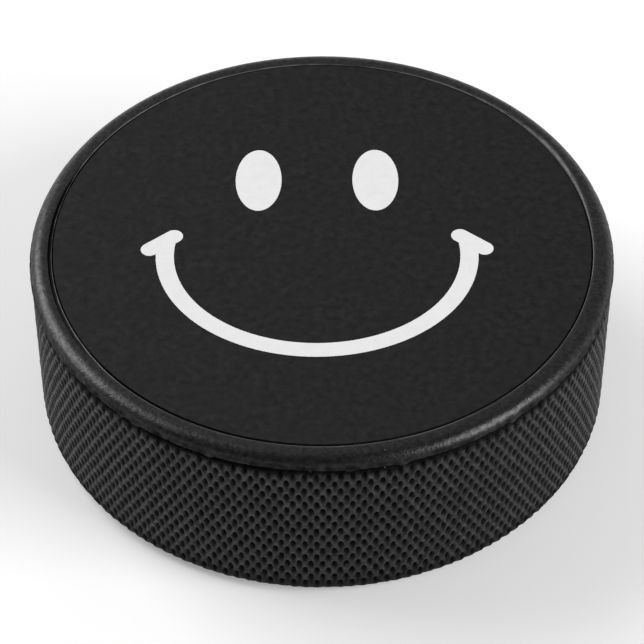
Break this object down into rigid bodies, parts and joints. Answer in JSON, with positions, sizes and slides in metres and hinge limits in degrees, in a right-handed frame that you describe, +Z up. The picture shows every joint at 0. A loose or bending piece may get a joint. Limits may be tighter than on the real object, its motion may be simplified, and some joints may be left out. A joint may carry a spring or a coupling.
{
  "type": "hockey puck",
  "caption": "Solid rubber ice hockey puck with rounded edges, a knurled side and a round printed label with a plain smiling face.",
  "frame": {"origin": "centre of the flat bottom face", "axes": "+Z up along the puck's axis, out of the labelled face; +Y towards the top of the printed face"},
  "size_m": [0.0761, 0.0762, 0.0254],
  "materials": {
    "rubber": "satin vulcanised rubber",
    "adhesive": "dull",
    "film": "smooth",
    "black_ink": "matt print",
    "white_ink": "matt print"
  },
  "bodies": {
    "root": {"puck_body": "rubber", "label_adhesive": "adhesive", "label_film": "film", "black_ink_ground": "black_ink", "left_eye_ink": "white_ink", "right_eye_ink": "white_ink", "smile_ink": "white_ink"}
  },
  "joints": []
}
